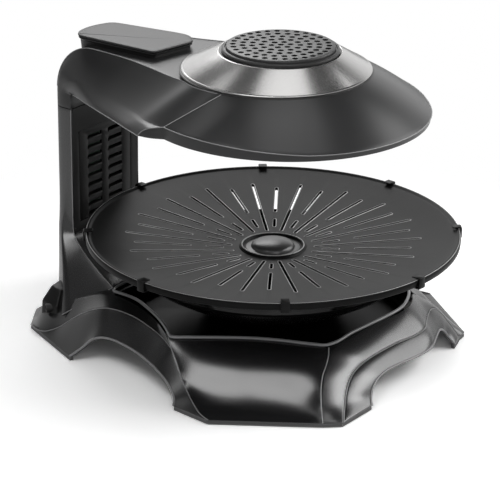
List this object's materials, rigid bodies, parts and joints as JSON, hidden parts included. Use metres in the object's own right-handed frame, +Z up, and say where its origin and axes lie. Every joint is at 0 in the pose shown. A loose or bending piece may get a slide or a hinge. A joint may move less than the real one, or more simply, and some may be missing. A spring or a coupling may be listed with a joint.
{
  "type": "smokeless indoor grill",
  "caption": "Smokeless indoor grill: a round slotted plate over a drip bowl on a low footed base, under an infrared lamp head with a smoke fan on a hinged rear arm.",
  "frame": {"origin": "on the table under the middle of the grill's overall box", "axes": "+Z up, the column at +Y behind the plate and the open front at -Y, +X to the right seen from the front"},
  "size_m": [0.356, 0.401, 0.29],
  "materials": {
    "body_moulding": "satin graphite with a fine metallic sheen",
    "floor_moulding": "matte",
    "pod_moulding": "satin",
    "touch_panel": "satin, slightly lighter than the housing",
    "well_gloss": "gloss black",
    "bowl_enamel": "gloss black enamel",
    "trim_bright": "brushed dark bright",
    "plate_coating": "matte dark non-stick coating",
    "clip_steel": "satin black",
    "ring_steel": "spun and polished",
    "cap_metal": "satin",
    "sole_rubber": "matte",
    "hinge_steel": "plain",
    "reflector_aluminium": "bright",
    "shield_steel": "zinc plated",
    "guard_wire": "bright",
    "lamp_quartz": "clear red-tinted quartz",
    "lamp_ceramic": "unglazed",
    "board_laminate": "circuit board",
    "inner_plastic": "heat-proof plastic",
    "motor_steel": "plain",
    "filter_mesh": "wire mesh"
  },
  "bodies": {
    "base": {"base_shell": "body_moulding", "front_arch_panel": "body_moulding", "base_floor_cover": "floor_moulding", "base_screws": "hinge_steel", "foot_pads": "sole_rubber", "bowl_well": "well_gloss", "lip_trim": "trim_bright", "column_shell": "body_moulding", "vent_panel": "body_moulding", "column_rear_cover": "body_moulding", "control_board": "board_laminate", "board_standoffs": "inner_plastic", "mains_terminal": "inner_plastic", "cord_gland_housing": "body_moulding", "cord_gland": "sole_rubber", "column_hinge_leaf": "hinge_steel", "hinge_pin": "hinge_steel"},
    "drip_bowl": {"drip_bowl": "bowl_enamel"},
    "plate": {"grill_plate": "plate_coating", "plate_centre_cap": "plate_coating", "plate_cap_nut": "hinge_steel", "rim_clips": "clip_steel"},
    "head": {"head_hinge_leaf": "hinge_steel", "head_shell": "body_moulding", "control_housing": "pod_moulding", "control_panel": "touch_panel", "panel_board": "board_laminate", "steel_ring": "ring_steel", "vent_cap": "cap_metal", "head_under_cover": "body_moulding", "head_screws": "hinge_steel", "lamp_reflector": "reflector_aluminium", "lamp_holders": "lamp_ceramic", "infrared_lamps": "lamp_quartz", "heat_shield": "shield_steel", "thermal_cutout": "inner_plastic", "lamp_guard": "guard_wire", "fan_duct": "shield_steel", "fan_bracket": "shield_steel", "fan_motor": "motor_steel", "grease_filter": "filter_mesh"},
    "fan": {"fan_rotor": "inner_plastic"}
  },
  "joints": [
    {"name": "head_tilt", "type": "hinge", "parent": "base", "child": "head", "pos_m": [0, 0.19554, 0.199], "axis": [-1, 0, 0], "range_deg": [0, 70]},
    {"name": "drip_bowl_lift", "type": "slide", "parent": "base", "child": "drip_bowl", "axis": [0, 0, 1], "range_m": [0, 0.035]},
    {"name": "plate_lift", "type": "slide", "parent": "drip_bowl", "child": "plate", "axis": [0, 0, 1], "range_m": [0, 0.055]},
    {"name": "fan_spin", "type": "hinge", "parent": "head", "child": "fan", "pos_m": [0, -0.02846, 0.267], "axis": [0, 0, 1], "continuous": true}
  ]
}
